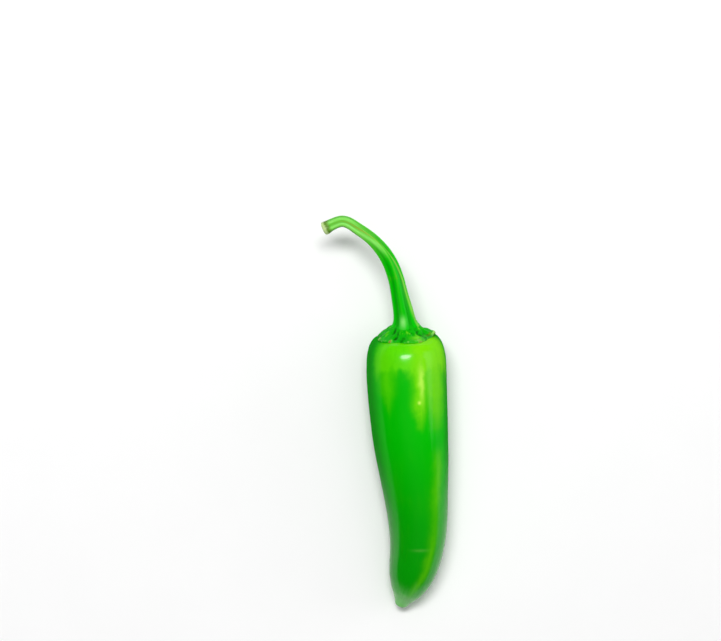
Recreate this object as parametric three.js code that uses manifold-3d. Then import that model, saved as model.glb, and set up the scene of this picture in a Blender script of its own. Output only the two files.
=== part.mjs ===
// A fresh serrano pepper, as picked: a smooth tapering pod, the ribbed calyx that caps its shoulder,
// and a curved stem with a dry cut end. It lies on its side with +Z up, its tip towards -Y and its
// stem towards +Y. The origin is on the resting surface, under the middle of the whole pepper.
// All sizes are in millimetres and all angles in radians.

import * as THREE from 'three';
import { mergeVertices } from 'three/addons/utils/BufferGeometryUtils.js';
import Module from 'manifold-3d';

const UP = new THREE.Vector3(0, 0, 1);

// Clear space left between two pieces that grow against each other.
const GAP = 0.3;

// Corners closer than this are one corner.
const WELD = 1e-4;

// The line through the middle of the pod, calyx and stem, from the pod's tip to the cut end of the
// stem. x is across, y is along the pod with 0 at its shoulder, and z is the height above the table.
const CENTRE_POINTS = [
  [-1.5, -68.7, 2.9],
  [0.8, -62.0, 5.0],
  [2.5, -54.0, 6.5],
  [2.8, -46.0, 7.35],
  [1.9, -35.0, 8.35],
  [0.8, -24.0, 9.25],
  [0.1, -13.0, 9.65],
  [-0.1, -6.0, 9.8],
  [-0.3, 0.0, 10.9],
  [-0.7, 4.5, 12.3],
  [-1.8, 9.5, 13.4],
  [-3.1, 14.5, 14.1],
  [-4.9, 19.0, 14.5],
  [-8.0, 22.6, 14.5],
  [-11.9, 26.0, 14.2],
  [-16.0, 28.4, 13.7],
  [-20.6, 27.2, 13.0],
];
// How finely the centre line and the pod's outline are measured.
const LENGTH_STEPS = 800;
const OUTLINE_STEPS = 400;

// The pod. Each outline point is a radius and a distance along the centre line from the tip.
const POD_OUTLINE = [
  [0.0, 0.0],
  [1.25, 0.3],
  [1.95, 1.3],
  [2.8, 2.8],
  [4.4, 5.3],
  [5.9, 9.6],
  [6.85, 16.5],
  [7.9, 28.0],
  [9.2, 41.0],
  [9.8, 52.0],
  [10.0, 61.5],
  [9.6, 66.2],
  [8.5, 68.7],
  [6.9, 69.7],
  [3.5, 70.2],
  [0.0, 70.3],
];
const POD_RINGS = 34;
const POD_SIDES = 30;
const LOBE_COUNT = 3;
const LOBE_DEPTH = 0.022;
const LOBE_TURN = THREE.MathUtils.degToRad(4);
const LOBE_START = 8;
const LOBE_FULL = 30;

// The calyx, a cap pressed down over the pod's shoulder. It is measured from the top of the pod.
const CALYX_RADIUS = 7.0;
const CALYX_EDGE = 0.55;
const CALYX_HEIGHT = 3.9;
const CALYX_SEAT = 2.6;
const CALYX_FLARE = 1.8;
const CALYX_RINGS = 6;
const CALYX_SIDES = 40;
const TOOTH_COUNT = 5;
const TOOTH_DEPTH = 0.07;
const TOOTH_TURN = THREE.MathUtils.degToRad(20);

// The stem. Each outline point is a radius and a share of the stem's length from the calyx up.
const STEM_OUTLINE = [
  [2.55, 0.0],
  [2.3, 0.1],
  [1.95, 0.25],
  [1.8, 0.45],
  [1.5, 0.65],
  [1.38, 0.8],
  [1.4, 0.92],
  [1.85, 0.965],
  [2.0, 0.985],
  [1.85, 1.0],
];
const STEM_RINGS = 28;
const STEM_SIDES = 20;
const RIB_COUNT = 5;
const RIB_DEPTH = 0.06;

// The block below the table that takes a thin slice off the pod's underside, so that it rests flat.
const TABLE_BLOCK = { width: 60, depth: 120, height: 4, middle: -30 };

const wasm = await Module();
wasm.setup();

const centreLine = new THREE.CatmullRomCurve3(
  CENTRE_POINTS.map((point) => new THREE.Vector3(...point)),
  false,
  'centripetal',
);
centreLine.arcLengthDivisions = LENGTH_STEPS;
const lineLength = centreLine.getLength();

const podOutline = new THREE.SplineCurve(POD_OUTLINE.map((point) => new THREE.Vector2(...point)));
const podTop = podOutline.getPoints(OUTLINE_STEPS).reverse();
const podLength = podTop[0].y;

// The place on the centre line at a distance from the tip, with the directions across it and up.
function frameAt(distance) {
  const share = THREE.MathUtils.clamp(distance / lineLength, 0, 1);
  const centre = centreLine.getPointAt(share);
  const along = centreLine.getTangentAt(share);
  const across = new THREE.Vector3().crossVectors(along, UP).normalize();
  const up = new THREE.Vector3().crossVectors(across, along);
  return { centre, across, up };
}

// Lays a straight form, which stands along its own y axis, along the centre line. The shape function
// takes a point's radius, its angle from the top of the pepper and its y, and gives them back changed.
function layAlongLine(geometry, shape) {
  const position = geometry.getAttribute('position');
  for (let i = 0; i < position.count; i += 1) {
    const x = position.getX(i);
    const z = position.getZ(i);
    const angle = Math.atan2(x, z);
    const [radius, distance] = shape(Math.hypot(x, z), angle, position.getY(i));
    const { centre, across, up } = frameAt(distance);
    centre.addScaledVector(across, radius * Math.sin(angle));
    centre.addScaledVector(up, radius * Math.cos(angle));
    position.setXYZ(i, centre.x, centre.y, centre.z);
  }
  return geometry;
}

// One closed skin: seams and poles joined, and the flat slivers at the poles dropped.
function closeSkin(geometry) {
  geometry.deleteAttribute('normal');
  geometry.deleteAttribute('uv');
  const joined = mergeVertices(geometry, WELD);
  const corners = joined.getIndex().array;
  const kept = [];
  for (let i = 0; i < corners.length; i += 3) {
    const [a, b, c] = corners.slice(i, i + 3);
    if (a !== b && b !== c && c !== a) {
      kept.push(a, b, c);
    }
  }
  joined.setIndex(kept);
  return joined;
}

function toSolid(geometry) {
  const mesh = new wasm.Mesh({
    numProp: 3,
    vertProperties: new Float32Array(geometry.getAttribute('position').array),
    triVerts: new Uint32Array(geometry.getIndex().array),
  });
  return new wasm.Manifold(mesh);
}

function toGeometry(solid) {
  const mesh = solid.getMesh();
  const geometry = new THREE.BufferGeometry();
  geometry.setAttribute('position', new THREE.BufferAttribute(mesh.vertProperties, 3));
  geometry.setIndex(new THREE.BufferAttribute(mesh.triVerts, 1));
  return geometry;
}

// Everything of a closed form that is above the table.
function restOnTable(geometry) {
  const { width, depth, height, middle } = TABLE_BLOCK;
  const block = new THREE.BoxGeometry(width, depth, height);
  block.translate(0, middle, -height / 2);
  return toGeometry(toSolid(geometry).subtract(toSolid(closeSkin(block))));
}

// How far along the centre line the top of the pod is, at a radius inside its shoulder.
function podTopAt(radius) {
  const next = podTop.findIndex((point) => point.x > radius);
  const [inner, outer] = [podTop[next - 1], podTop[next]];
  return THREE.MathUtils.mapLinear(radius, inner.x, outer.x, inner.y, outer.y);
}

// The pod is round at its tip and swells into three soft lobes towards its shoulder.
function makePod() {
  const form = new THREE.LatheGeometry(podOutline.getPoints(POD_RINGS), POD_SIDES);
  layAlongLine(form, (radius, angle, distance) => {
    const fullness = THREE.MathUtils.smoothstep(distance, LOBE_START, LOBE_FULL);
    const lobe = LOBE_DEPTH * fullness * Math.cos(LOBE_COUNT * (angle - LOBE_TURN));
    return [radius * (1 + lobe), distance];
  });
  const skin = new THREE.MeshStandardMaterial({ color: 0x1eae12, roughness: 0.25, metalness: 0 });
  return namedMesh('pod', restOnTable(closeSkin(form)), skin);
}

// The calyx starts as a flat disc with an under and an upper side, at 0 and 1 on its own y axis. The
// under side follows the pod, and the upper side rises to the flat seat that the stem grows from.
function makeCalyx() {
  const rings = [0];
  for (let ring = 0; ring < CALYX_RINGS; ring += 1) {
    rings.push(THREE.MathUtils.lerp(CALYX_SEAT, CALYX_RADIUS, ring / (CALYX_RINGS - 1)));
  }
  const under = rings.map((radius) => new THREE.Vector2(radius, 0));
  const upper = rings.map((radius) => new THREE.Vector2(radius, 1)).reverse();
  const form = new THREE.LatheGeometry([...under, ...upper], CALYX_SIDES);
  layAlongLine(form, (radius, angle, side) => {
    const share = THREE.MathUtils.smoothstep(radius, CALYX_SEAT, CALYX_RADIUS);
    const tooth = TOOTH_DEPTH * share * Math.cos(TOOTH_COUNT * (angle - TOOTH_TURN));
    const reach = radius * (1 + tooth);
    const inward = (CALYX_RADIUS - radius) / (CALYX_RADIUS - CALYX_SEAT);
    const rise = podLength + CALYX_HEIGHT - podTopAt(reach) - CALYX_EDGE;
    const thickness = CALYX_EDGE + rise * THREE.MathUtils.clamp(inward, 0, 1) ** CALYX_FLARE;
    return [reach, podTopAt(reach) + GAP + side * thickness];
  });
  const skin = new THREE.MeshStandardMaterial({ color: 0x1f8a1a, roughness: 0.55, metalness: 0 });
  return namedMesh('calyx', closeSkin(form), skin);
}

// The stem is swollen where it meets the calyx and at its cut end, and has soft ribs along it.
function makeStem() {
  const start = podLength + GAP + CALYX_HEIGHT + GAP;
  const reach = lineLength - start;
  const outline = new THREE.SplineCurve(STEM_OUTLINE.map((point) => new THREE.Vector2(...point)));
  const sides = outline.getPoints(STEM_RINGS);
  const ends = [new THREE.Vector2(0, 0), ...sides, new THREE.Vector2(0, 1)];
  const form = new THREE.LatheGeometry(ends, STEM_SIDES);
  layAlongLine(form, (radius, angle, share) => {
    const rib = RIB_DEPTH * Math.cos(RIB_COUNT * angle);
    return [radius * (1 + rib), start + share * reach];
  });
  const skin = new THREE.MeshStandardMaterial({ color: 0x5cc23a, roughness: 0.45, metalness: 0 });
  return namedMesh('stem', closeSkin(form), skin);
}

function namedMesh(name, geometry, material) {
  geometry.computeVertexNormals();
  const mesh = new THREE.Mesh(geometry, material);
  mesh.name = name;
  return mesh;
}

const pepper = new THREE.Group();
pepper.add(makePod(), makeCalyx(), makeStem());

// The origin goes under the middle of the whole pepper.
const middle = new THREE.Box3().setFromObject(pepper).getCenter(new THREE.Vector3());
pepper.position.set(-middle.x, -middle.y, 0);

export default pepper;
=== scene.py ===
# A fresh serrano pepper lying on its side: a glossy tapering pod, the ribbed calyx that caps it and a
# curved stem with a dry cut end. It is in metres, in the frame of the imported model, with its tip
# towards -Y, its stem towards +Y and the table at z = 0.

import math

import bpy
from mathutils import Matrix, Vector


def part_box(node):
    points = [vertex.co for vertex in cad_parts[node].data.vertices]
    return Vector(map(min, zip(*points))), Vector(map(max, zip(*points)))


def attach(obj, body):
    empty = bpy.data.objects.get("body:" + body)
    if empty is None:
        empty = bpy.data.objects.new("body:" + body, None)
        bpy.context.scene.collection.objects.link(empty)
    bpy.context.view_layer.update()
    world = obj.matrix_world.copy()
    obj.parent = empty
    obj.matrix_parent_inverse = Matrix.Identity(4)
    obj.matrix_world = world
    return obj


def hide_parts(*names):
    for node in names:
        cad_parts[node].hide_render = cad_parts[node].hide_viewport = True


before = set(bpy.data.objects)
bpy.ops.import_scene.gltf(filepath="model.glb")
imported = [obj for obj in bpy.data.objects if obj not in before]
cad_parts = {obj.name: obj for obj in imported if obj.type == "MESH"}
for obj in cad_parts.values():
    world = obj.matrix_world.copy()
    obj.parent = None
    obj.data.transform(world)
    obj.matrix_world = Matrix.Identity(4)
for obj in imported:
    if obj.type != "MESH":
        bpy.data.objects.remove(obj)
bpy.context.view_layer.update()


# ---------------------------------------------------------------------------------------------------
# Pod: one thin-walled fruit, grown round at the tip and swelling into three soft lobes. Its waxy skin
# is bright green and ripens to yellow-green at the shoulder and in streaks that run down from there.
# ---------------------------------------------------------------------------------------------------
MM = 0.001
FULL_TURN = 2 * math.pi

# The line through the whole pepper, from the pod's tip to the stem's cut end: across, along with 0 at
# the shoulder, and up from the table.
CENTRE_LINE = [
    (-1.5, -68.7, 2.9), (0.8, -62.0, 5.0), (2.5, -54.0, 6.5), (2.8, -46.0, 7.35), (1.9, -35.0, 8.35),
    (0.8, -24.0, 9.25), (0.1, -13.0, 9.65), (-0.1, -6.0, 9.8), (-0.3, 0.0, 10.9), (-0.7, 4.5, 12.3),
    (-1.8, 9.5, 13.4), (-3.0, 14.5, 14.1), (-4.9, 18.9, 14.5), (-7.9, 22.8, 14.5), (-11.9, 26.0, 14.2),
    (-16.1, 28.2, 13.7), (-20.9, 26.3, 12.9),
]
# Radius and distance along the line, from the nub at the tip to the hollow under the calyx.
POD_OUTLINE = [
    (0.0, 0.0), (1.2, 0.15), (1.75, 0.8), (2.1, 1.6), (2.9, 2.9), (4.4, 5.3), (5.9, 9.6), (6.85, 16.5),
    (7.9, 28.0), (9.2, 41.0), (9.8, 52.0), (10.0, 61.5), (9.6, 66.2), (8.5, 68.7), (6.9, 69.7),
    (3.5, 70.2), (0.0, 70.3),
]
POD_TOP = 70.3 * MM
POD_RINGS = 260
POD_SIDES = 144
LOBES = 3
LOBE_DEPTH = 0.022
LOBE_TURN = math.radians(4)


def tint(code):
    """A colour for a shader from a six-digit colour code, through the standard curve for screens."""
    parts = [(code >> shift & 255) / 255 for shift in (16, 8, 0)]
    return (*[p / 12.92 if p <= 0.04045 else ((p + 0.055) / 1.055) ** 2.4 for p in parts], 1.0)


def grow(tree, kind, feeds=None, out=0, **settings):
    """Adds a node, feeds its sockets with values or other nodes' outputs, and gives one output back."""
    node = tree.nodes.new(kind)
    for name, value in settings.items():
        setattr(node, name, value)
    for name, value in (feeds or {}).items():
        if isinstance(value, bpy.types.NodeSocket):
            tree.links.new(value, node.inputs[name])
        else:
            node.inputs[name].default_value = value
    return node.outputs[out]


def calc(tree, operation, *values):
    return grow(tree, "ShaderNodeMath", dict(enumerate(values)), operation=operation)


def vector_calc(tree, operation, *values):
    return grow(tree, "ShaderNodeVectorMath", dict(enumerate(values)), operation=operation)


def total(tree, *values):
    result = values[0]
    for value in values[1:]:
        result = calc(tree, "ADD", result, value)
    return result


def product(tree, *values):
    result = values[0]
    for value in values[1:]:
        result = calc(tree, "MULTIPLY", result, value)
    return result


def ease(tree, value, start, end, low=0.0, high=1.0):
    """Goes softly from low to high as the value goes from start to end."""
    feeds = {"Value": value, "From Min": start, "From Max": end, "To Min": low, "To Max": high}
    return grow(tree, "ShaderNodeMapRange", feeds, interpolation_type="SMOOTHSTEP")


def bell(tree, value, middle, width):
    """1 at the middle, falling off softly on both sides."""
    off = calc(tree, "DIVIDE", calc(tree, "SUBTRACT", value, middle), width)
    return calc(tree, "EXPONENT", product(tree, off, off, -1.0))


def wave(tree, angle, count, turn):
    """Goes from 1 to -1 and back, count times round the pepper, with a crest at turn."""
    return calc(tree, "COSINE", calc(tree, "MULTIPLY", calc(tree, "SUBTRACT", angle, turn), count))


def unevenness(tree, place, scale, detail=2.0):
    """Soft noise between about -0.5 and 0.5."""
    feeds = {"Vector": place, "Scale": scale, "Detail": detail, "Roughness": 0.5}
    noise = grow(tree, "ShaderNodeTexNoise", feeds, noise_dimensions="3D")
    return calc(tree, "SUBTRACT", noise, 0.5)


def varied(tree, value, kinds, shares):
    """The value with a share of each kind of variation added to it."""
    return total(tree, value, *[product(tree, kinds[kind], share) for kind, share in shares.items()])


def patch(tree, angle, along, place):
    """A soft patch, given by its angle and width, how far along it is, its length and strength."""
    return product(
        tree, bell(tree, angle, place["angle"], place["width"]),
        bell(tree, along, place["along"], place["length"]), place["strength"])


def round_place(tree, angle, third):
    """A place for noise that joins up with itself round the pepper."""
    feeds = {"X": calc(tree, "SINE", angle), "Y": calc(tree, "COSINE", angle), "Z": third}
    return grow(tree, "ShaderNodeCombineXYZ", feeds)


def line_object(name, points):
    """A curve through the points, kept only while the pieces are made."""
    curve = bpy.data.curves.new(name, "CURVE")
    curve.dimensions = "3D"
    spline = curve.splines.new("POLY")
    spline.points.add(len(points) - 1)
    for place, point in zip(spline.points, points):
        place.co = (*[value * MM for value in point], 1.0)
    holder = bpy.data.objects.new(name, curve)
    bpy.context.collection.objects.link(holder)
    return holder


def flat_line_object(name, points):
    return line_object(name, [(radius, distance, 0.0) for radius, distance in points])


def add_socket(tree, name, kind, way="INPUT"):
    return tree.interface.new_socket(name, in_out=way, socket_type="NodeSocket" + kind)


def kept_value(tree, name, kind="FLOAT"):
    """A value that an earlier step stored on the surface."""
    return grow(tree, "GeometryNodeInputNamedAttribute", {"Name": name}, data_type=kind)


def keep_value(tree, geometry, name, value, kind="FLOAT"):
    feeds = {"Geometry": geometry, "Name": name, "Value": value}
    return grow(tree, "GeometryNodeStoreNamedAttribute", feeds, data_type=kind, domain="POINT")


def smooth_line(tree, holder, resolution=24):
    """The smooth curve through the points of a line object."""
    points = grow(tree, "GeometryNodeObjectInfo", {"Object": holder}, out="Geometry")
    smooth = grow(tree, "GeometryNodeCurveSplineType", {"Curve": points}, spline_type="CATMULL_ROM")
    return grow(tree, "GeometryNodeSetSplineResolution", {"Geometry": smooth, "Resolution": resolution})


def make_turned_form():
    """A sheet of rings and sides that stores each point's radius, distance and angle from the top."""
    tree = bpy.data.node_groups.new("turned_form", "GeometryNodeTree")
    add_socket(tree, "Outline", "Object")
    add_socket(tree, "Rings", "Int")
    add_socket(tree, "Sides", "Int")
    add_socket(tree, "Form", "Geometry", "OUTPUT")
    given = tree.nodes.new("NodeGroupInput").outputs
    corners = calc(tree, "ADD", given["Sides"], 1)
    feeds = {"Size X": 1.0, "Size Y": 1.0, "Vertices X": corners, "Vertices Y": given["Rings"]}
    sheet = grow(tree, "GeometryNodeMeshGrid", feeds)
    place = tree.nodes.new("ShaderNodeSeparateXYZ")
    tree.links.new(grow(tree, "GeometryNodeInputPosition"), place.inputs[0])
    outline = smooth_line(tree, given["Outline"])
    share = calc(tree, "ADD", place.outputs["Y"], 0.5)
    feeds = {"Curves": outline, "Factor": share}
    point = grow(tree, "GeometryNodeSampleCurve", feeds, out="Position", mode="FACTOR")
    outline_point = tree.nodes.new("ShaderNodeSeparateXYZ")
    tree.links.new(point, outline_point.inputs[0])
    angle = calc(tree, "MULTIPLY", place.outputs["X"], FULL_TURN)
    sheet = keep_value(tree, sheet, "radius", outline_point.outputs["X"])
    sheet = keep_value(tree, sheet, "along", outline_point.outputs["Y"])
    sheet = keep_value(tree, sheet, "angle", angle)
    out = tree.nodes.new("NodeGroupOutput")
    tree.links.new(sheet, out.inputs["Form"])
    return tree


# No point of a piece is lower than this one, whose height is the table's.
LOWEST_CORNER = (-1.0, -1.0, 0.0)


def make_laid_form():
    """Lays a turned form along the line through the pepper, closes it and rests it on the table."""
    tree = bpy.data.node_groups.new("laid_form", "GeometryNodeTree")
    add_socket(tree, "Form", "Geometry")
    add_socket(tree, "Line", "Object")
    add_socket(tree, "Weld", "Float")
    add_socket(tree, "Skin", "Material")
    add_socket(tree, "Piece", "Geometry", "OUTPUT")
    given = tree.nodes.new("NodeGroupInput").outputs
    radius, along, angle = (kept_value(tree, name) for name in ("radius", "along", "angle"))
    line = grow(
        tree, "GeometryNodeSampleCurve",
        {"Curves": smooth_line(tree, given["Line"]), "Length": along},
        out="Position", mode="LENGTH",
    )
    heading = line.node.outputs["Tangent"]
    across = vector_calc(tree, "NORMALIZE", vector_calc(tree, "CROSS_PRODUCT", heading, (0, 0, 1)))
    upward = vector_calc(tree, "CROSS_PRODUCT", across, heading)
    sine, cosine = calc(tree, "SINE", angle), calc(tree, "COSINE", angle)
    around = grow(tree, "ShaderNodeCombineXYZ", {"X": sine, "Y": cosine})
    sideways = grow(tree, "ShaderNodeVectorMath",
                    {0: across, "Scale": product(tree, radius, sine)}, operation="SCALE")
    raised = grow(tree, "ShaderNodeVectorMath",
                  {0: upward, "Scale": product(tree, radius, cosine)}, operation="SCALE")
    place = vector_calc(tree, "ADD", line, vector_calc(tree, "ADD", sideways, raised))
    above_table = vector_calc(tree, "MAXIMUM", place, LOWEST_CORNER)
    form = keep_value(tree, given["Form"], "around", around, "FLOAT_VECTOR")
    form = grow(tree, "GeometryNodeSetPosition", {"Geometry": form, "Position": above_table})
    form = grow(tree, "GeometryNodeMergeByDistance", {"Geometry": form, "Distance": given["Weld"]})
    form = grow(tree, "GeometryNodeSetShadeSmooth", {"Geometry": form})
    form = grow(tree, "GeometryNodeRealizeInstances", {"Geometry": form})
    form = grow(tree, "GeometryNodeSetMaterial", {"Geometry": form, "Material": given["Skin"]})
    out = tree.nodes.new("NodeGroupOutput")
    tree.links.new(form, out.inputs["Piece"])
    return tree


TURNED_FORM = make_turned_form()
LAID_FORM = make_laid_form()
centre_line = line_object("centre_line", CENTRE_LINE)

# Points nearer than this are one point, which closes the seam and both ends.
WELD = 0.002 * MM


def start_piece_tree(name, sizes):
    """A tree for one piece, with its sizes as named inputs, holding the turned form it starts from."""
    tree = bpy.data.node_groups.new(name, "GeometryNodeTree")
    inputs = {"Outline": "Object", "Line": "Object", "Skin": "Material", "Rings": "Int", "Sides": "Int"}
    inputs.update({size: "Float" for size in sizes})
    sockets = {label: add_socket(tree, label, kind) for label, kind in inputs.items()}
    add_socket(tree, "Piece", "Geometry", "OUTPUT")
    given = tree.nodes.new("NodeGroupInput").outputs
    feeds = {label: given[label] for label in ("Outline", "Rings", "Sides")}
    form = tree.nodes.new("GeometryNodeGroup")
    form.node_tree = TURNED_FORM
    for label, value in feeds.items():
        tree.links.new(value, form.inputs[label])
    return tree, sockets, given, form.outputs["Form"]


def end_piece_tree(tree, given, form, radius, along):
    """Gives the form its changed radius and distance and lays it along the line."""
    form = keep_value(tree, form, "laid_along", along)
    form = keep_value(tree, form, "radius", radius)
    form = keep_value(tree, form, "along", kept_value(tree, "laid_along"))
    laid = tree.nodes.new("GeometryNodeGroup")
    laid.node_tree = LAID_FORM
    tree.links.new(form, laid.inputs["Form"])
    tree.links.new(given["Line"], laid.inputs["Line"])
    tree.links.new(given["Skin"], laid.inputs["Skin"])
    laid.inputs["Weld"].default_value = WELD
    out = tree.nodes.new("NodeGroupOutput")
    tree.links.new(laid.outputs["Piece"], out.inputs["Piece"])


def make_piece(name, tree, sockets, values):
    """Runs a piece's tree once and keeps the result as a plain mesh."""
    piece = bpy.data.objects.new(name, bpy.data.meshes.new(name))
    bpy.context.collection.objects.link(piece)
    modifier = piece.modifiers.new("shape", "NODES")
    modifier.node_group = tree
    for label, value in values.items():
        modifier[sockets[label].identifier] = value
    bpy.context.view_layer.update()
    ready = piece.evaluated_get(bpy.context.evaluated_depsgraph_get())
    mesh = bpy.data.meshes.new_from_object(ready)
    mesh.name = name
    piece.modifiers.clear()
    piece.data = mesh
    return piece


# The colour mixer's sockets, by number, because its kinds of socket share their names.
MIX_SHARE = 0
MIX_UNDER = 6
MIX_OVER = 7
MIX_RESULT = 2


def blend(tree, share, under, over):
    feeds = {MIX_SHARE: share, MIX_UNDER: under, MIX_OVER: over}
    return grow(tree, "ShaderNodeMix", feeds, out=MIX_RESULT, data_type="RGBA")


def float_curve(tree, value, points):
    """A smooth curve through points whose x and y both run from 0 to 1."""
    output = grow(tree, "ShaderNodeFloatCurve", {"Value": value})
    curve = output.node.mapping.curves[0]
    curve.points[0].location = points[0]
    curve.points[-1].location = points[-1]
    for point in points[1:-1]:
        curve.points.new(*point)
    output.node.mapping.update()
    return output


def kept_on_skin(tree, name):
    """A number that the shaping kept on the surface, for the skin to read."""
    return grow(tree, "ShaderNodeAttribute", out="Fac", attribute_name=name)


def surface_place(tree):
    """Where a point is on the pepper: its angle from the top, its distance from the tip and its spot."""
    around = grow(tree, "ShaderNodeAttribute", out="Vector", attribute_name="around")
    split = tree.nodes.new("ShaderNodeSeparateXYZ")
    tree.links.new(around, split.inputs[0])
    angle = calc(tree, "ARCTAN2", split.outputs["X"], split.outputs["Y"])
    along = kept_on_skin(tree, "along")
    spot = grow(tree, "ShaderNodeTexCoord", out="Object")
    return angle, along, spot


def start_skin(name):
    material = bpy.data.materials.new(name)
    material.use_nodes = True
    tree = material.node_tree
    return material, tree, tree.nodes["Principled BSDF"]


def finish_skin(tree, surface, worked_out, same_all_over):
    """Joins the values worked out for each place to the shader, and sets those that are the same."""
    for label, value in worked_out.items():
        tree.links.new(value, surface.inputs[label])
    for label, value in same_all_over.items():
        surface.inputs[label].default_value = value


# Ripening: fresh green and the yellow-green it turns to. Also the darker green of the painted shade
# on the sides, the light yellow-green of a painted glint and of a pale dot, and the pale greens of the
# painted reflection at the tip and on the flanks.
FRESH_GREEN = tint(0x00B800)
SIDE_SHADE_GREEN = tint(0x008E02)
LOW_GREEN = tint(0x009A00)
RIPE_GREEN = tint(0x76D905)
RIPE_COOL = tint(0x5AD705)
GLINT_AND_DOT_YELLOW = tint(0xC4F45A)
TIP_PAINTED_REFLECTION = tint(0x72CC66)
SCAR_PALE = tint(0x9CCB6A)
FLANK_PAINTED_REFLECTION = tint(0x9CD688)

# How far each colour of light spreads in the flesh, as a share of the scale that goes with it.
FLESH_SPREAD = (0.4, 1.0, 0.2)

# How fine the skin's unevenness is: broad drifts, blotches, grain, and strands drawn out lengthwise.
DRIFT_SCALE = 110.0
BLOTCH_SCALE = 420.0
GRAIN_SCALE = 900.0
STRAND_SCALE = 9.0
STRAND_STRETCH = 16.0
# How much each kind shifts a place round the pod and along it, and how much it breaks up the ripe
# colour, warms the green, streaks the flanks and dulls the wax.
TURNED_BY = {"drift": 0.14, "blotch": 0.16}
REACHED_BY = {"drift": 5 * MM, "blotch": 3 * MM, "strand": 3 * MM}
BROKEN_UP_BY = {"strand": 0.55, "grain": 0.25}
WARMED_BY = {"drift": 1.2, "strand": 0.8}
FLANKS_STREAKED_BY = {"strand": 1.2}
DULLED_BY = {"drift": 0.10, "grain": 0.05}

# All places are angles from the top of the pod, with its right side plus, and distances from its tip.
SHOULDER_COMES_IN = (57 * MM, 63 * MM)
SHOULDER_LEFT_EDGE = (-1.12, -0.72)
SHOULDER_RIGHT_EDGE = (1.0, 1.65)
TONGUE_ANGLE = -0.13
TONGUE_WIDTH = 0.19
TONGUE_END = (60 * MM, 63 * MM)
TONGUE_STRENGTH = 0.95
LEFT_STREAK = {
    "angle": -0.55, "widens": (50 * MM, 62 * MM), "widths": (0.08, 0.3),
    "comes in": (49 * MM, 57 * MM), "strength": 0.62,
}
NEAR_STREAK = {
    "angle": 0.27, "widens": (43 * MM, 56 * MM), "widths": (0.06, 0.19),
    "comes in": (45.5 * MM, 54.5 * MM), "strength": 1.0,
}
# The long streak's angle and strength, each against the share of the pod's length from the tip.
LONG_STREAK_ANGLE = [
    (0.0, 0.2), (0.09, 0.27), (0.17, 0.48), (0.36, 0.58), (0.5, 0.72), (0.62, 0.76), (0.7, 0.78),
    (0.82, 0.72), (1.0, 0.72),
]
LONG_STREAK_STRENGTH = [
    (0.0, 0.0), (0.06, 0.2), (0.2, 0.36), (0.33, 0.26), (0.46, 0.36), (0.56, 0.3), (0.62, 0.0),
    (0.67, 0.22), (0.75, 0.62), (0.88, 0.88), (1.0, 0.88),
]
LONG_STREAK_WIDENS = (44 * MM, 58 * MM)
LONG_STREAK_WIDTHS = (0.18, 0.38)
# A painted glint: a light yellow-green spot where the near streak leaves the shoulder.
PAINTED_GLINT = {"angle": 0.33, "width": 0.07, "along": 58.5 * MM, "length": 4 * MM, "strength": 0.7}

# The green: where it is fresh (darker towards the tip, partly its own tone and partly painted shade),
# where it warms a little, and the sides darkened with painted shade.
FRESH_COMES_IN = (14 * MM, 50 * MM)
WARMS_BETWEEN = (-0.05, 0.6)
WARM_STRENGTH = 0.04
LEFT_SIDE = (-0.75, -1.25)
RIGHT_SIDE = (0.95, 1.35)
SIDE_STRENGTH = 0.8
YELLOWER_SIDE = (-0.1, 0.3)

# The tip and flanks, painted paler as a painted reflection of the table, and the two small marks.
TIP_COMES_IN = (9 * MM, 1 * MM)
FLANK_EDGE = (0.65, 1.4)
FLANK_COMES_IN = (36 * MM, 12 * MM)
LEFT_TO_RIGHT = (-0.6, 0.6)
FLANK_STRENGTHS = (0.08, 0.15)
DOT = {"angle": 0.258, "width": 0.04, "along": 53.5 * MM, "length": 0.4 * MM, "strength": 1.0}
SCAR = {"angle": 0.1, "width": 0.28, "along": 17 * MM, "length": 0.32 * MM, "strength": 0.14}
SCAR_SLANT = -0.5 * MM
SCAR_WANDERS_BY = {"drift": 0.8 * MM}

# The wax, from a thin film to a thick coat at the tip and on the upper side.
WAX_COMES_IN = (46 * MM, 12 * MM)
WAX_FROM_TO = (0.03, 0.85)
WAX_TOP_WIDTH = 0.75
WAX_TOP_COMES_IN = (20 * MM, 50 * MM)
WAX_TOP_STRENGTH = 0.6
WAX_ROUGHNESS = 0.22


def make_streak(tree, turned, along, reached, streak):
    """A ripe streak that narrows and fades on its way down from the shoulder."""
    width = ease(tree, along, *streak["widens"], *streak["widths"])
    across = bell(tree, turned, streak["angle"], width)
    return product(tree, across, ease(tree, reached, *streak["comes in"]), streak["strength"])


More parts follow.
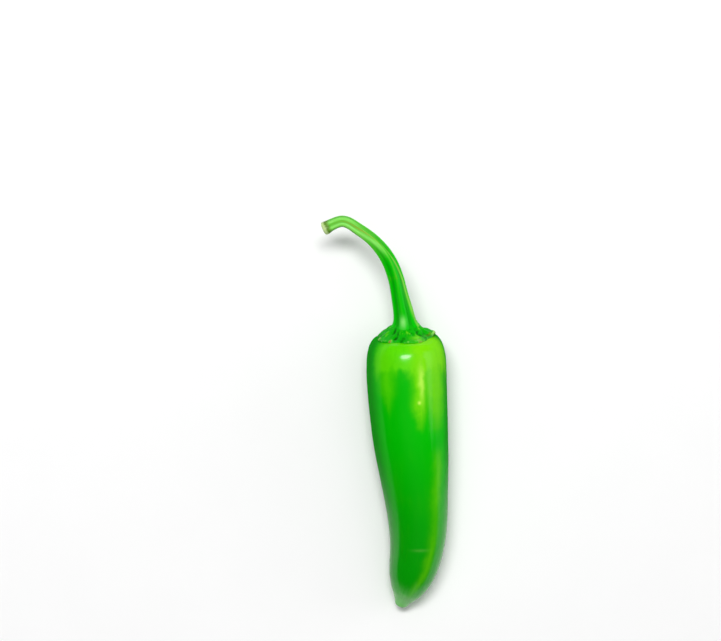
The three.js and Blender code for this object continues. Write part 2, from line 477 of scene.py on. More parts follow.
def make_pod_skin():
    material, tree, surface = start_skin("pod_skin")
    angle, along, spot = surface_place(tree)
    far = calc(tree, "DIVIDE", along, POD_TOP)
    drawn_out = round_place(tree, angle, product(tree, along, STRAND_STRETCH))
    kinds = {
        "drift": unevenness(tree, spot, DRIFT_SCALE, detail=3.0),
        "blotch": unevenness(tree, spot, BLOTCH_SCALE, detail=3.0),
        "grain": unevenness(tree, spot, GRAIN_SCALE),
        "strand": unevenness(tree, drawn_out, STRAND_SCALE, detail=3.0),
    }
    # The same place shifted by the unevenness, so that no edge between two colours is straight.
    turned = varied(tree, angle, kinds, TURNED_BY)
    reached = varied(tree, along, kinds, REACHED_BY)

    # The shoulder, ripe all over but for its left side, with a green tongue that opens below it.
    shoulder = product(
        tree, ease(tree, reached, *SHOULDER_COMES_IN), ease(tree, turned, *SHOULDER_LEFT_EDGE),
        ease(tree, turned, *SHOULDER_RIGHT_EDGE, low=1.0, high=0.0))
    tongue = product(
        tree, bell(tree, turned, TONGUE_ANGLE, TONGUE_WIDTH),
        ease(tree, reached, *TONGUE_END, low=1.0, high=0.0), TONGUE_STRENGTH)

    # One streak runs down on each side of the tongue. The longest wanders down the right side all the
    # way to the tip, with a break in it.
    left = make_streak(tree, turned, along, reached, LEFT_STREAK)
    near = make_streak(tree, turned, along, reached, NEAR_STREAK)
    long_angle = float_curve(tree, far, LONG_STREAK_ANGLE)
    long_strength = float_curve(tree, far, LONG_STREAK_STRENGTH)
    long_width = ease(tree, along, *LONG_STREAK_WIDENS, *LONG_STREAK_WIDTHS)
    long_streak = product(tree, bell(tree, turned, long_angle, long_width), long_strength)
    ripe = calc(tree, "MAXIMUM", shoulder, calc(tree, "MAXIMUM", left, near))
    ripe = calc(tree, "MAXIMUM", ripe, long_streak)
    ripe = product(
        tree, ripe, calc(tree, "SUBTRACT", 1.0, tongue), varied(tree, 1.0, kinds, BROKEN_UP_BY))

    # The green under the ripe places. Painted shade darkens it at the sides; towards the tip it is darker,
    # partly its own tone and partly painted shade.
    colour = blend(tree, ease(tree, along, *FRESH_COMES_IN), LOW_GREEN, FRESH_GREEN)
    warm = ease(tree, varied(tree, 0.0, kinds, WARMED_BY), *WARMS_BETWEEN, high=WARM_STRENGTH)
    colour = blend(tree, warm, colour, RIPE_GREEN)
    # Painted shade: the sides of the pod turn to a darker green.
    for side in (LEFT_SIDE, RIGHT_SIDE):
        colour = blend(tree, ease(tree, turned, *side, high=SIDE_STRENGTH), colour, SIDE_SHADE_GREEN)

    # Ripe places are yellower on the right. A painted glint lightens them where the near streak leaves the
    # shoulder.
    ripe_colour = blend(tree, ease(tree, turned, *YELLOWER_SIDE), RIPE_COOL, RIPE_GREEN)
    colour = blend(tree, ripe, colour, ripe_colour)
    colour = blend(tree, patch(tree, turned, reached, PAINTED_GLINT), colour, GLINT_AND_DOT_YELLOW)

    # Painted reflection: the tip and the flanks near it are painted paler, where the white table is
    # mirrored.
    colour = blend(tree, ease(tree, reached, *TIP_COMES_IN), colour, TIP_PAINTED_REFLECTION)
    flank = product(
        tree, ease(tree, calc(tree, "ABSOLUTE", turned), *FLANK_EDGE),
        ease(tree, reached, *FLANK_COMES_IN), varied(tree, 1.0, kinds, FLANKS_STREAKED_BY),
        ease(tree, turned, *LEFT_TO_RIGHT, *FLANK_STRENGTHS))
    colour = blend(tree, flank, colour, FLANK_PAINTED_REFLECTION)

    # A pale dot and a faint line across, where the young fruit touched a leaf.
    slanted = varied(
        tree, total(tree, along, product(tree, angle, SCAR_SLANT)), kinds, SCAR_WANDERS_BY)
    colour = blend(tree, patch(tree, angle, slanted, SCAR), colour, SCAR_PALE)
    colour = blend(tree, patch(tree, angle, along, DOT), colour, GLINT_AND_DOT_YELLOW)

    wax_on_top = product(
        tree, bell(tree, angle, 0.0, WAX_TOP_WIDTH), ease(tree, along, *WAX_TOP_COMES_IN),
        WAX_TOP_STRENGTH)
    wax = total(tree, ease(tree, reached, *WAX_COMES_IN, *WAX_FROM_TO), wax_on_top)
    roughness = varied(tree, WAX_ROUGHNESS, kinds, DULLED_BY)
    bump = grow(tree, "ShaderNodeBump", {
        "Height": kinds["grain"], "Strength": 0.06, "Distance": 0.1 * MM})
    finish_skin(
        tree, surface,
        {"Base Color": colour, "Roughness": roughness, "Normal": bump, "Coat Weight": wax},
        {"Specular IOR Level": 0.0, "Coat Roughness": 0.18, "Subsurface Weight": 0.06,
         "Subsurface Radius": FLESH_SPREAD, "Subsurface Scale": 1.2 * MM})
    return material


# Where the pod's shape changes along it and round it.
LOBES_COME_IN = (8 * MM, 30 * MM)
RIDGE_COMES_IN = (30 * MM, 58 * MM)
RIDGE_ANGLE = 0.56
RIDGE_WIDTH = 0.17
HOLLOW_ANGLE = 0.9
HOLLOW_WIDTH = 0.22
HOLLOW_DEPTH = 0.7
PUCKERS = 8
PUCKER_TURN = 0.3
PUCKER_WANDER = 1.2
PUCKERS_COME_IN = (64 * MM, 69.3 * MM)
UNEVENNESS_COMES_IN = (2 * MM, 20 * MM)
UNEVENNESS_SCALE = 0.9
UNEVENNESS_STRETCH = 60.0


def make_pod_tree():
    """Three lobes, one soft ridge on the right, small puckers under the calyx and an uneven skin."""
    sizes = ["Lobe depth", "Ridge", "Pucker", "Unevenness"]
    tree, sockets, given, form = start_piece_tree("pod_shape", sizes)
    radius, along, angle = (kept_value(tree, name) for name in ("radius", "along", "angle"))
    lobe = product(
        tree, wave(tree, angle, LOBES, LOBE_TURN), ease(tree, along, *LOBES_COME_IN),
        given["Lobe depth"])
    hollow = product(tree, bell(tree, angle, HOLLOW_ANGLE, HOLLOW_WIDTH), -HOLLOW_DEPTH)
    crest = total(tree, bell(tree, angle, RIDGE_ANGLE, RIDGE_WIDTH), hollow)
    ridge = product(tree, crest, ease(tree, along, *RIDGE_COMES_IN), given["Ridge"])
    place = round_place(tree, angle, product(tree, along, UNEVENNESS_STRETCH))
    broad = unevenness(tree, place, UNEVENNESS_SCALE, detail=1.0)
    wander = total(tree, angle, product(tree, broad, PUCKER_WANDER))
    folds = wave(tree, wander, PUCKERS, PUCKER_TURN)
    pucker = product(tree, folds, ease(tree, along, *PUCKERS_COME_IN), given["Pucker"])
    uneven = product(tree, broad, ease(tree, along, *UNEVENNESS_COMES_IN), given["Unevenness"])
    change = total(tree, 1.0, lobe, ridge, pucker, uneven)
    end_piece_tree(tree, given, form, product(tree, radius, change), along)
    return tree, sockets


pod_tree, pod_sockets = make_pod_tree()
pod_outline = flat_line_object("pod_outline", POD_OUTLINE)
pod = make_piece("pepper_pod", pod_tree, pod_sockets, {
    "Outline": pod_outline,
    "Line": centre_line,
    "Skin": make_pod_skin(),
    "Rings": POD_RINGS,
    "Sides": POD_SIDES,
    "Lobe depth": LOBE_DEPTH,
    "Ridge": 0.0035,
    "Pucker": 0.010,
    "Unevenness": 0.022,
})

# The pepper's origin is under its middle, so every piece moves by what brings the pod to its place.
pod_corners = [Vector(vertex.co) for vertex in pod.data.vertices]
pod_middle = [(min(c[i] for c in pod_corners) + max(c[i] for c in pod_corners)) / 2 for i in (0, 1)]
cad_pod_low, cad_pod_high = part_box("pod")
cad_pod_middle = (cad_pod_low + cad_pod_high) / 2
TO_PLACE = Matrix.Translation((cad_pod_middle.x - pod_middle[0], cad_pod_middle.y - pod_middle[1], 0))
pod.data.transform(TO_PLACE)
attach(pod, "root")
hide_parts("pod")


# ---------------------------------------------------------------------------------------------------
# Calyx: the dry-edged green cap left from the flower. It hugs the pod's shoulder, rises in ribs to
# the stem that grows out of it, and ends in small teeth with pale, partly browned tips.
# ---------------------------------------------------------------------------------------------------
CALYX_RINGS = 120
CALYX_SIDES = 240
CALYX_RIBS = 5
CALYX_FOOT_TURN = math.radians(-10)
CALYX_TURN = math.radians(20)
# Radius and height above the pod's skin, from the middle of the under side out and back over the top.
CALYX_OUTLINE = [
    (0.0, -0.1), (3.0, -0.1), (6.6, -0.12), (7.0, -0.05), (7.15, 0.15), (7.05, 0.38), (6.7, 0.55),
    (6.0, 0.8), (5.1, 1.2), (4.3, 1.75), (3.5, 2.5), (2.8, 3.2), (2.3, 3.9), (2.0, 4.2), (1.2, 4.3),
    (0.0, 4.3),
]
# How far the pod's shoulder falls away at this radius, and how fast it does.
SHOULDER_RADIUS = 6.9 * MM
SHOULDER_DROP = 0.6 * MM
SHOULDER_POWER = 2.5

CALYX_GREEN = tint(0x0AAE04)
CALYX_FURROW_SHADE = tint(0x046E03)
CALYX_HIGHLIGHT_GREEN = tint(0x70D81C)
CALYX_EDGE = tint(0xA9D873)
CALYX_BROWN = tint(0x8A6224)

# How fine the unevenness of its colour is, and how much each kind changes the level of the green (its
# painted shade and highlight, and its random tone), the line of the edge, what is worn or dried there,
# the roughness and the small bumps.
CALYX_PATCH_SCALE = 420.0
CALYX_GRAIN_SCALE = 1250.0
LEVELLED_BY = {"crest": 0.6, "patches": 1.6, "grain": 1.6}
EDGE_SHIFTED_BY = {"patches": 0.10}
WORN_BY = {"patches": 1.0, "crest": 0.12}
DRIED_BY = {"patches": 1.0, "crest": 0.5}
CALYX_ROUGHENED_BY = {"patches": 0.2}
CALYX_BUMPED_BY = {"patches": 1.0, "grain": 0.8}
DEEP_TO_GREEN = (-0.95, -0.1)
GREEN_TO_LIGHT = (0.3, 1.1)
LIGHT_STRENGTH = 0.75

# The edge, and how strongly it is worn pale or dried brown.
EDGE_COMES_IN = (0.94, 1.0)
WORN_BETWEEN = (-0.05, 0.22)
WORN_STRENGTH = 0.7
DRIED_BETWEEN = (0.3, 0.6)
DRIED_STRENGTH = 0.8
CALYX_ROUGHNESS = 0.48

# Most teeth are small and green. One on the right has dried and lifted, with a pale edge and a brown
# back, and one on top is a lighter yellow-green with a painted highlight on it.
TOOTH_COLOUR_AND_HIGHLIGHT = {"angle": 0.42, "width": 0.22, "along": 0.82, "length": 0.16, "strength": 0.85}
DRY_TOOTH_ANGLE = 1.42
DRY_TOOTH_WIDTH = 0.15
DRY_EDGE_COMES_IN = (0.93, 0.99)
DRY_EDGE_STRENGTH = 0.85
DRY_BACK = {"angle": 1.3, "width": 0.3, "along": 0.86, "length": 0.07, "strength": 0.85}
DRY_BACK_BETWEEN = (-0.12, 0.1)


def make_calyx_skin():
    material, tree, surface = start_skin("calyx_skin")
    angle, _, spot = surface_place(tree)
    outward = kept_on_skin(tree, "outward")
    kinds = {
        "crest": kept_on_skin(tree, "crest"),
        "patches": unevenness(tree, spot, CALYX_PATCH_SCALE, detail=3.0),
        "grain": unevenness(tree, spot, CALYX_GRAIN_SCALE, detail=3.0),
    }

    # Painted shade makes the furrows deep green and a painted highlight makes the crests light, both
    # broken up by patches and grain.
    level = varied(tree, 0.0, kinds, LEVELLED_BY)
    colour = blend(tree, ease(tree, level, *DEEP_TO_GREEN), CALYX_FURROW_SHADE, CALYX_GREEN)
    colour = blend(tree, ease(tree, level, *GREEN_TO_LIGHT, high=LIGHT_STRENGTH), colour, CALYX_HIGHLIGHT_GREEN)
    colour = blend(tree, patch(tree, angle, outward, TOOTH_COLOUR_AND_HIGHLIGHT), colour, CALYX_HIGHLIGHT_GREEN)

    # The edge is worn pale in places and dried brown in a few.
    edge = ease(tree, varied(tree, outward, kinds, EDGE_SHIFTED_BY), *EDGE_COMES_IN)
    worn = ease(tree, varied(tree, 0.0, kinds, WORN_BY), *WORN_BETWEEN, high=WORN_STRENGTH)
    colour = blend(tree, product(tree, edge, worn), colour, CALYX_EDGE)
    dried = ease(tree, varied(tree, 0.0, kinds, DRIED_BY), *DRIED_BETWEEN, high=DRIED_STRENGTH)
    colour = blend(tree, product(tree, edge, dried), colour, CALYX_BROWN)
    dry_edge = product(
        tree, bell(tree, angle, DRY_TOOTH_ANGLE, DRY_TOOTH_WIDTH),
        ease(tree, outward, *DRY_EDGE_COMES_IN, high=DRY_EDGE_STRENGTH))
    colour = blend(tree, dry_edge, colour, CALYX_EDGE)
    dry_back = product(
        tree, patch(tree, angle, outward, DRY_BACK), ease(tree, kinds["patches"], *DRY_BACK_BETWEEN))
    colour = blend(tree, dry_back, colour, CALYX_BROWN)

    roughness = varied(tree, CALYX_ROUGHNESS, kinds, CALYX_ROUGHENED_BY)
    height = varied(tree, 0.0, kinds, CALYX_BUMPED_BY)
    bump = grow(tree, "ShaderNodeBump", {"Height": height, "Strength": 0.8, "Distance": 0.2 * MM})
    finish_skin(
        tree, surface, {"Base Color": colour, "Roughness": roughness, "Normal": bump},
        {"Specular IOR Level": 0.04, "Coat Weight": 0.1, "Coat Roughness": 0.22,
         "Subsurface Weight": 0.05, "Subsurface Radius": FLESH_SPREAD, "Subsurface Scale": 0.8 * MM})
    return material


# How fine the calyx's shape is uneven, and how much of that goes into the wandering ribs, the ragged
# edge and the crest.
CALYX_STRETCH = 90.0
RAGGED_SCALE = 2.2
CRUMPLE_SCALE = 7.0
NIBBLED_SCALE = 11.0
RIB_WANDER = 0.5
RAGGED_EDGE = 0.11
NIBBLED_EDGE = 0.09
CRUMPLED_CREST = 3.0
SMALL_RIBS = 3 * CALYX_RIBS + 1
SMALL_RIB_TURN = 0.5
MAIN_RIB_SHARE = 0.6
# The slope that the ribs and crumples are on: above the under side, clear of the middle, and with its
# strongest place half way out.
UPPER_SIDE = (0.1 * MM, 0.6 * MM)
CLEAR_OF_MIDDLE = (0.3 * MM, 1.8 * MM)
SLOPE_MIDDLE = 0.55
SLOPE_WIDTH = 0.45
# The rim, which lifts off the pod a little, and most of all at the dry tooth.
RIM_COMES_IN = (0.8, 1.0)
RIM_LIFT = 0.35 * MM
RIM_LIFT_BY_CREST = 0.25
DRY_TOOTH_LIFT = 2.8
DRY_TOOTH_LIFT_WIDTH = 0.13


def make_calyx_tree():
    """Ribs that run from the stem to the teeth, wrinkles between them and a ragged, lifted rim."""
    sizes = [
        "Shoulder radius", "Shoulder drop", "Tooth", "Rib", "Wrinkle", "Crumple", "Rim radius",
        "Seat radius",
    ]
    tree, sockets, given, form = start_piece_tree("calyx_shape", sizes)
    radius, height, angle = (kept_value(tree, name) for name in ("radius", "along", "angle"))
    place = round_place(tree, angle, product(tree, radius, CALYX_STRETCH))
    ragged = unevenness(tree, place, RAGGED_SCALE)
    crumple = unevenness(tree, place, CRUMPLE_SCALE, detail=3.0)
    nibbled = unevenness(tree, place, NIBBLED_SCALE)
    wander = total(tree, angle, product(tree, ragged, RIB_WANDER))
    outward = ease(tree, radius, given["Seat radius"], given["Rim radius"])
    swirl = ease(tree, outward, start=0.0, end=1.0, low=CALYX_FOOT_TURN, high=CALYX_TURN)
    main_ribs = wave(tree, wander, CALYX_RIBS, swirl)
    small_ribs = wave(tree, wander, SMALL_RIBS, SMALL_RIB_TURN)
    crest = total(
        tree, product(tree, main_ribs, MAIN_RIB_SHARE), product(tree, small_ribs, 1 - MAIN_RIB_SHARE))

    tooth = total(
        tree, product(tree, main_ribs, given["Tooth"]), product(tree, ragged, RAGGED_EDGE),
        product(tree, nibbled, NIBBLED_EDGE))
    reach = product(tree, radius, total(tree, 1.0, product(tree, outward, tooth)))
    steepness = calc(
        tree, "POWER", calc(tree, "DIVIDE", reach, given["Shoulder radius"]), SHOULDER_POWER)
    fall = product(tree, steepness, given["Shoulder drop"], -1.0)

    # Ribs, wrinkles and crumples are on the slope of the upper side only, and die out before its
    # middle, so that the skin closes there.
    slope = product(
        tree, ease(tree, height, *UPPER_SIDE), ease(tree, radius, *CLEAR_OF_MIDDLE),
        bell(tree, outward, SLOPE_MIDDLE, SLOPE_WIDTH))
    folds = total(
        tree, product(tree, main_ribs, given["Rib"]), product(tree, small_ribs, given["Wrinkle"]),
        product(tree, crumple, given["Crumple"]))
    relief = product(tree, slope, folds)
    dry_tooth = product(
        tree, bell(tree, angle, DRY_TOOTH_ANGLE, DRY_TOOTH_LIFT_WIDTH), DRY_TOOTH_LIFT)
    loose = total(tree, product(tree, crest, RIM_LIFT_BY_CREST), ragged, dry_tooth)
    lift = product(tree, ease(tree, outward, *RIM_COMES_IN), loose, RIM_LIFT)
    along = total(tree, POD_TOP, height, relief, lift, fall)
    form = keep_value(tree, form, "crest", total(tree, crest, product(tree, crumple, CRUMPLED_CREST)))
    form = keep_value(tree, form, "outward", outward)
    end_piece_tree(tree, given, form, reach, along)
    return tree, sockets


calyx_tree, calyx_sockets = make_calyx_tree()
calyx_outline = flat_line_object("calyx_outline", CALYX_OUTLINE)
calyx = make_piece("pepper_calyx", calyx_tree, calyx_sockets, {
    "Outline": calyx_outline,
    "Line": centre_line,
    "Skin": make_calyx_skin(),
    "Rings": CALYX_RINGS,
    "Sides": CALYX_SIDES,
    "Shoulder radius": SHOULDER_RADIUS,
    "Shoulder drop": SHOULDER_DROP,
    "Tooth": 0.06,
    "Rib": 0.3 * MM,
    "Wrinkle": 0.12 * MM,
    "Crumple": 1.15 * MM,
    "Rim radius": 7.1 * MM,
    "Seat radius": 2.6 * MM,
})
calyx.data.transform(TO_PLACE)
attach(calyx, "root")
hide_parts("calyx")


# ---------------------------------------------------------------------------------------------------
# Stem: the green stalk the pod hung from, grown out of the calyx with five soft ribs. It thins
# towards the plant, where it was cut, and the cut has dried to a cream disc with a browned collar.
# ---------------------------------------------------------------------------------------------------
STEM_RINGS = 300
STEM_SIDES = 90
STEM_RIBS = 5
# The ribs turn a little on their way up.
STEM_TURN = math.radians(-10)
STEM_TWIST = math.radians(40)
STEM_START = POD_TOP + 2.2 * MM
STEM_LENGTH = 46.0 * MM
# Radius and distance from the foot, which stands a little way down in the calyx, to the cut.
STEM_OUTLINE = [
    (0.0, 0.0), (3.0, 0.0), (3.5, 0.3), (3.05, 1.0), (2.68, 2.2), (2.4, 5.0), (2.0, 11.5), (1.8, 20.5),
    (1.52, 30.0), (1.4, 37.0), (1.38, 41.5), (1.46, 43.6), (1.6, 44.8), (1.64, 45.4), (1.48, 45.85),
    (1.15, 45.9), (0.65, 45.75), (0.0, 45.7),
]

STEM_GREEN = tint(0x02BC02)
STEM_FURROW_SHADE = tint(0x048205)
STEM_PALE = tint(0x60C234)
STEM_RIDGE = tint(0xA6DC5A)
STEM_SHEEN_GREEN = tint(0x98F270)
STEM_FOOT_HIGHLIGHT = tint(0x9CF684)
STEM_ORANGE = tint(0xB3852C)
COLLAR_BROWN = tint(0x56600F)
CUT_CREAM = tint(0xC0DC94)
CUT_RING = tint(0x9C9650)

# How fine the unevenness of its colour is: fibres drawn out lengthwise, patches, and grain. Then how
# much each kind shifts the edges between colours and changes the roughness and the small bumps.
FIBRE_SCALE = 7.8
FIBRE_STRETCH = 15.0
STEM_PATCH_SCALE = 260.0
STEM_GRAIN_SCALE = 2200.0
PALER_BY = {"patches": 0.25}
FURROWED_BY = {"fibre": 0.5}
RIBBED_BY = {"fibre": 0.9}
GROOVE_SHIFTED_BY = {"fibre": 0.15}
RUSTED_BY = {"patches": 1.0, "fibre": 0.5}
END_SHIFTED_BY = {"fibre": 0.02, "patches": 0.02}
STEM_ROUGHENED_BY = {"fibre": 0.15}
STEM_BUMPED_BY = {"fibre": 1.0, "grain": 0.35}

# Shares of the stem's length are from its foot. The green gets paler towards the cut. Painted shade
# deepens it in the furrows and a painted highlight lightens it on the ribs, most of all low down on the
# right.
PALER_BETWEEN = (0.42, 0.8)
FURROW_BETWEEN = (-0.2, -0.95)
FURROW_FADES = (0.2, 0.75)
FURROW_STRENGTHS = (0.5, 0.3)
RIB_BETWEEN = (0.5, 1.2)
RIB_FADES = (0.15, 0.6)
RIB_STRENGTH_HIGH = 0.22
RIGHT_SIDE_LOW = (0.3, 0.9)
RIB_STRENGTHS_LOW = (0.04, 0.5)

# One groove crosses from the right to the top on its way up. It is pale low down and brown higher up,
# and a pale band of painted sheen runs along each side of it.
GROOVE_CROSSES = (0.25, 0.85)
GROOVE_ANGLES = (0.95, 0.0)
INNER_SHEEN_BAND = {"angle": -0.5, "width": 0.32, "comes in": (0.45, 0.62), "strength": 0.9}
OUTER_SHEEN_BAND = {"angle": 0.6, "width": 0.34, "comes in": (0.7, 0.85), "strength": 0.72}
BAND_FIBRES = (-0.4, 0.3)
BAND_FIBRE_STRENGTHS = (0.7, 1.0)
BROWN_LINE = {"angle": 0.0, "width": 0.1, "along": 0.72, "length": 0.14, "strength": 0.55}
PALE_LINE_WIDTH = 0.13
PALE_LINE_STARTS = (0.04, 0.12)
PALE_LINE_ENDS = (0.62, 0.42)
PALE_LINE_STRENGTH = 0.5

# A little rust, and a painted highlight where the foot comes out of the calyx.
RUST_BETWEEN = (0.12, 0.3)
RUST_PLACE = 0.3
RUST_LENGTH = 0.16
RUST_STRENGTH = 0.3
PAINTED_FOOT_HIGHLIGHT = {"angle": -0.22, "width": 0.26, "along": 0.05, "length": 0.03, "strength": 0.7}

# The dried end: the collar, the cut, and the ring of bark in it.
COLLAR_COMES_IN = (0.935, 0.965)
COLLAR_STRENGTH = 0.75
CUT_COMES_IN = (0.968, 0.984)
BARK_PLACE = 0.78
BARK_WIDTH = 0.12
BARK_STRENGTH = 0.8
SPECKS_BETWEEN = (0.05, 0.35)
SPECK_STRENGTH = 0.4
STEM_ROUGHNESS = 0.36
CUT_ROUGHNESS = 0.4


def make_sheen_band(tree, from_groove, up_stem, band):
    across = bell(tree, from_groove, band["angle"], band["width"])
    return product(tree, across, ease(tree, up_stem, *band["comes in"], high=band["strength"]))


def make_stem_skin():
    material, tree, surface = start_skin("stem_skin")
    angle, along, spot = surface_place(tree)
    crest = kept_on_skin(tree, "crest")
    up_stem = kept_on_skin(tree, "up_stem")
    from_middle = kept_on_skin(tree, "from_middle")
    drawn_out = round_place(tree, angle, product(tree, along, FIBRE_STRETCH))
    kinds = {
        "fibre": unevenness(tree, drawn_out, FIBRE_SCALE, detail=4.0),
        "patches": unevenness(tree, spot, STEM_PATCH_SCALE, detail=3.0),
        "grain": unevenness(tree, spot, STEM_GRAIN_SCALE),
    }

    # Deep green at the foot, paler and yellower towards the cut, with painted shade in the furrows and a
    # painted highlight on the crests of the ribs.
    paler = ease(tree, varied(tree, up_stem, kinds, PALER_BY), *PALER_BETWEEN)
    colour = blend(tree, paler, STEM_GREEN, STEM_PALE)
    painted_furrow_shade = product(
        tree, ease(tree, varied(tree, crest, kinds, FURROWED_BY), *FURROW_BETWEEN),
        ease(tree, up_stem, *FURROW_FADES, *FURROW_STRENGTHS))
    colour = blend(tree, painted_furrow_shade, colour, STEM_FURROW_SHADE)
    strength_low = ease(tree, angle, *RIGHT_SIDE_LOW, *RIB_STRENGTHS_LOW)
    painted_rib_highlight = product(
        tree, ease(tree, varied(tree, crest, kinds, RIBBED_BY), *RIB_BETWEEN),
        ease(tree, up_stem, *RIB_FADES, strength_low, RIB_STRENGTH_HIGH))
    colour = blend(tree, painted_rib_highlight, colour, STEM_RIDGE)

    # The groove, with the bands of painted sheen beside it.
    groove = varied(
        tree, ease(tree, up_stem, *GROOVE_CROSSES, *GROOVE_ANGLES), kinds, GROOVE_SHIFTED_BY)
    from_groove = calc(tree, "SUBTRACT", angle, groove)
    sheen_bands = calc(
        tree, "MAXIMUM", make_sheen_band(tree, from_groove, up_stem, INNER_SHEEN_BAND),
        make_sheen_band(tree, from_groove, up_stem, OUTER_SHEEN_BAND))
    sheen_bands = product(tree, sheen_bands, ease(tree, kinds["fibre"], *BAND_FIBRES, *BAND_FIBRE_STRENGTHS))
    colour = blend(tree, sheen_bands, colour, STEM_SHEEN_GREEN)
    colour = blend(tree, patch(tree, from_groove, up_stem, BROWN_LINE), colour, STEM_ORANGE)
    pale_line = product(
        tree, bell(tree, from_groove, 0.0, PALE_LINE_WIDTH), ease(tree, up_stem, *PALE_LINE_ENDS),
        ease(tree, up_stem, *PALE_LINE_STARTS), PALE_LINE_STRENGTH)
    colour = blend(tree, pale_line, colour, STEM_RIDGE)
    rust = product(
        tree, ease(tree, varied(tree, 0.0, kinds, RUSTED_BY), *RUST_BETWEEN),
        bell(tree, up_stem, RUST_PLACE, RUST_LENGTH), RUST_STRENGTH)
    colour = blend(tree, rust, colour, STEM_ORANGE)
    # A painted highlight on the foot, just above the calyx.
    colour = blend(tree, patch(tree, angle, up_stem, PAINTED_FOOT_HIGHLIGHT), colour, STEM_FOOT_HIGHLIGHT)

    # The dried end: a ragged brown collar, and the cut itself, cream with a darker ring and specks.
    ragged = varied(tree, up_stem, kinds, END_SHIFTED_BY)
    collar = ease(tree, ragged, *COLLAR_COMES_IN, high=COLLAR_STRENGTH)
    colour = blend(tree, collar, colour, COLLAR_BROWN)
    cut = ease(tree, ragged, *CUT_COMES_IN)
    bark = product(tree, bell(tree, from_middle, BARK_PLACE, BARK_WIDTH), BARK_STRENGTH)
    specks = ease(tree, kinds["grain"], *SPECKS_BETWEEN, high=SPECK_STRENGTH)
    cut_colour = blend(tree, calc(tree, "MAXIMUM", bark, specks), CUT_CREAM, CUT_RING)
    colour = blend(tree, cut, colour, cut_colour)

    roughness = total(
        tree, varied(tree, STEM_ROUGHNESS, kinds, STEM_ROUGHENED_BY), product(tree, cut, CUT_ROUGHNESS))
    height = varied(tree, 0.0, kinds, STEM_BUMPED_BY)
    bump = grow(tree, "ShaderNodeBump", {"Height": height, "Strength": 0.35, "Distance": 0.12 * MM})
    finish_skin(
        tree, surface, {"Base Color": colour, "Roughness": roughness, "Normal": bump},
        {"Specular IOR Level": 0.02, "Coat Weight": 0.2, "Coat Roughness": 0.18,
         "Subsurface Weight": 0.05, "Subsurface Radius": FLESH_SPREAD, "Subsurface Scale": 0.8 * MM})
    return material


# How the stem's lumps, ribs and strands run, and the swollen end where the ribs fade out.
LUMP_STRETCH = 70.0
LUMP_SCALE = 1.1
RIBS_WANDER_BY_LUMPS = 0.45
STEM_STRANDS = 4 * STEM_RIBS - 1
STRAND_TURN = 0.2
END_COMES_IN = (0.93, 0.97)
RIBS_LOST_AT_END = 0.8
LUMPS_AT_END = 0.12
CUT_RADIUS = 1.64 * MM


def make_stem_tree():
    """Five ribs that wander a little, fine strands along them and a lumpy collar at the cut."""
    sizes = ["Start", "Length", "Rib depth", "Strand", "Lump"]
    tree, sockets, given, form = start_piece_tree("stem_shape", sizes)
    radius, distance, angle = (kept_value(tree, name) for name in ("radius", "along", "angle"))
    line_length = grow(tree, "GeometryNodeCurveLength", {"Curve": smooth_line(tree, given["Line"])})
    up_stem = calc(tree, "DIVIDE", distance, given["Length"])
    reach = calc(tree, "SUBTRACT", line_length, given["Start"])
    along = total(tree, given["Start"], product(tree, up_stem, reach))
    place = round_place(tree, angle, product(tree, distance, LUMP_STRETCH))
    lumps = unevenness(tree, place, LUMP_SCALE)
    wander = total(tree, angle, product(tree, lumps, RIBS_WANDER_BY_LUMPS))
    twist = total(tree, STEM_TURN, product(tree, up_stem, STEM_TWIST))
    crest = wave(tree, wander, STEM_RIBS, twist)
    strands = wave(tree, wander, STEM_STRANDS, STRAND_TURN)
    end = ease(tree, up_stem, *END_COMES_IN)
    body = calc(tree, "SUBTRACT", 1.0, product(tree, end, RIBS_LOST_AT_END))
    change = total(
        tree, 1.0, product(tree, crest, body, given["Rib depth"]), product(tree, strands, given["Strand"]),
        product(tree, lumps, given["Lump"]), product(tree, lumps, end, LUMPS_AT_END))
    form = keep_value(tree, form, "crest", crest)
    form = keep_value(tree, form, "up_stem", up_stem)
    form = keep_value(tree, form, "from_middle", calc(tree, "DIVIDE", radius, CUT_RADIUS))
    end_piece_tree(tree, given, form, product(tree, radius, change), along)
    return tree, sockets


stem_tree, stem_sockets = make_stem_tree()
stem_outline = flat_line_object("stem_outline", STEM_OUTLINE)
stem = make_piece("pepper_stem", stem_tree, stem_sockets, {
    "Outline": stem_outline,
    "Line": centre_line,
    "Skin": make_stem_skin(),
    "Rings": STEM_RINGS,
    "Sides": STEM_SIDES,
    "Start": STEM_START,
    "Length": STEM_LENGTH,
    "Rib depth": 0.075,
    "Strand": 0.012,
    "Lump": 0.06,
})
stem.data.transform(TO_PLACE)
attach(stem, "root")
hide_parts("stem")

for holder in (centre_line, pod_outline, calyx_outline, stem_outline):
    bpy.data.objects.remove(holder)


# ---------------------------------------------------------------------------------------------------
# Stage: a plain white table and soft studio light. A long soft box overhead makes the bright spot on
# the shoulder, a wide one lights the right flank, and the rest comes from all over the ceiling.
# ---------------------------------------------------------------------------------------------------
TABLE_HALF = 3.0
TABLE_BELOW = 0.02 * MM
TABLE_DARKER = (0.92, 0.92, 0.92, 1.0)
TABLE_LIGHTER = (0.94, 0.94, 0.94, 1.0)
TABLE_GRAIN_SCALE = 60.0


def make_table():
    mesh = bpy.data.meshes.new("table")
    sides = [(-1, -1), (1, -1), (1, 1), (-1, 1)]
    corners = [(x * TABLE_HALF, y * TABLE_HALF, -TABLE_BELOW) for x, y in sides]
    mesh.from_pydata(corners, [], [(0, 1, 2, 3)])
    table = bpy.data.objects.new("table", mesh)
    bpy.context.collection.objects.link(table)
    material, tree, surface = start_skin("table_top")
    grain = unevenness(tree, grow(tree, "ShaderNodeTexCoord", out="Object"), TABLE_GRAIN_SCALE)
    shade = blend(tree, total(tree, grain, 0.5), TABLE_DARKER, TABLE_LIGHTER)
    finish_skin(tree, surface, {"Base Color": shade}, {"Roughness": 0.9, "Specular IOR Level": 0.1})
    mesh.materials.append(material)
    return table


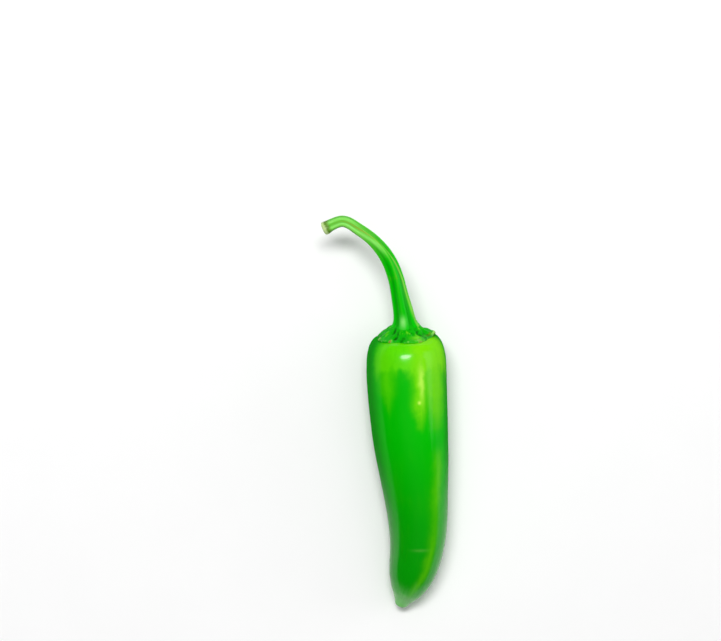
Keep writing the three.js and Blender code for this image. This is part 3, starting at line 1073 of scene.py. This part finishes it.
def add_soft_box(name, place, target, width, height, power):
    lamp = bpy.data.lights.new(name, "AREA")
    lamp.shape = "ELLIPSE"
    lamp.size = width
    lamp.size_y = height
    lamp.energy = power
    box = bpy.data.objects.new(name, lamp)
    bpy.context.collection.objects.link(box)
    box.location = place
    box.rotation_euler = (Vector(target) - Vector(place)).to_track_quat("-Z", "Y").to_euler()


make_table()
add_soft_box(
    "overhead", place=(-0.08, 0.26, 0.75), target=(-0.08, 0.0, 0.01), width=0.46, height=0.18, power=4.5)
add_soft_box(
    "right", place=(0.8, 0.15, 0.24), target=(0.005, 0.0, 0.01), width=0.6, height=0.46, power=1.4)

# The ceiling's light heads down, a little to the left and towards the tip, and isn't seen mirrored.
CEILING_STRENGTH = 1.12
CEILING_SPREAD = math.radians(100)
CEILING_HEADING = (-0.15, -0.15, -1.0)
SURROUNDINGS_COLOUR = (1.0, 1.0, 1.0, 1.0)
SURROUNDINGS_STRENGTH = 0.05

ceiling_light = bpy.data.lights.new("ceiling", "SUN")
ceiling_light.energy = CEILING_STRENGTH
ceiling_light.angle = CEILING_SPREAD
ceiling = bpy.data.objects.new("ceiling", ceiling_light)
bpy.context.collection.objects.link(ceiling)
ceiling.rotation_euler = Vector(CEILING_HEADING).to_track_quat("-Z", "Y").to_euler()
ceiling.visible_glossy = False

surroundings = bpy.data.worlds.new("surroundings")
surroundings.use_nodes = True
background = surroundings.node_tree.nodes["Background"]
background.inputs["Color"].default_value = SURROUNDINGS_COLOUR
background.inputs["Strength"].default_value = SURROUNDINGS_STRENGTH
bpy.context.scene.world = surroundings
bpy.context.scene.view_settings.view_transform = "Standard"
bpy.context.scene.view_settings.look = "None"


# ---------------------------------------------------------------------------------------------------
# Camera: straight above the table, with the stem away from the viewer. It is aimed at half the
# pepper's height, and takes in a width there of nearly twice the pepper's length.
# ---------------------------------------------------------------------------------------------------
LENS = 100.0
SENSOR = 36.0
VIEW_WIDTH = 180.25 * MM
VIEW_MIDDLE = (-6.25 * MM, 23.3 * MM, 10.0 * MM)

lens = bpy.data.cameras.new("camera")
lens.lens = LENS
lens.sensor_width = SENSOR
camera = bpy.data.objects.new("camera", lens)
bpy.context.collection.objects.link(camera)
camera.location = Vector(VIEW_MIDDLE) + Vector((0, 0, VIEW_WIDTH * LENS / SENSOR))
bpy.context.scene.camera = camera
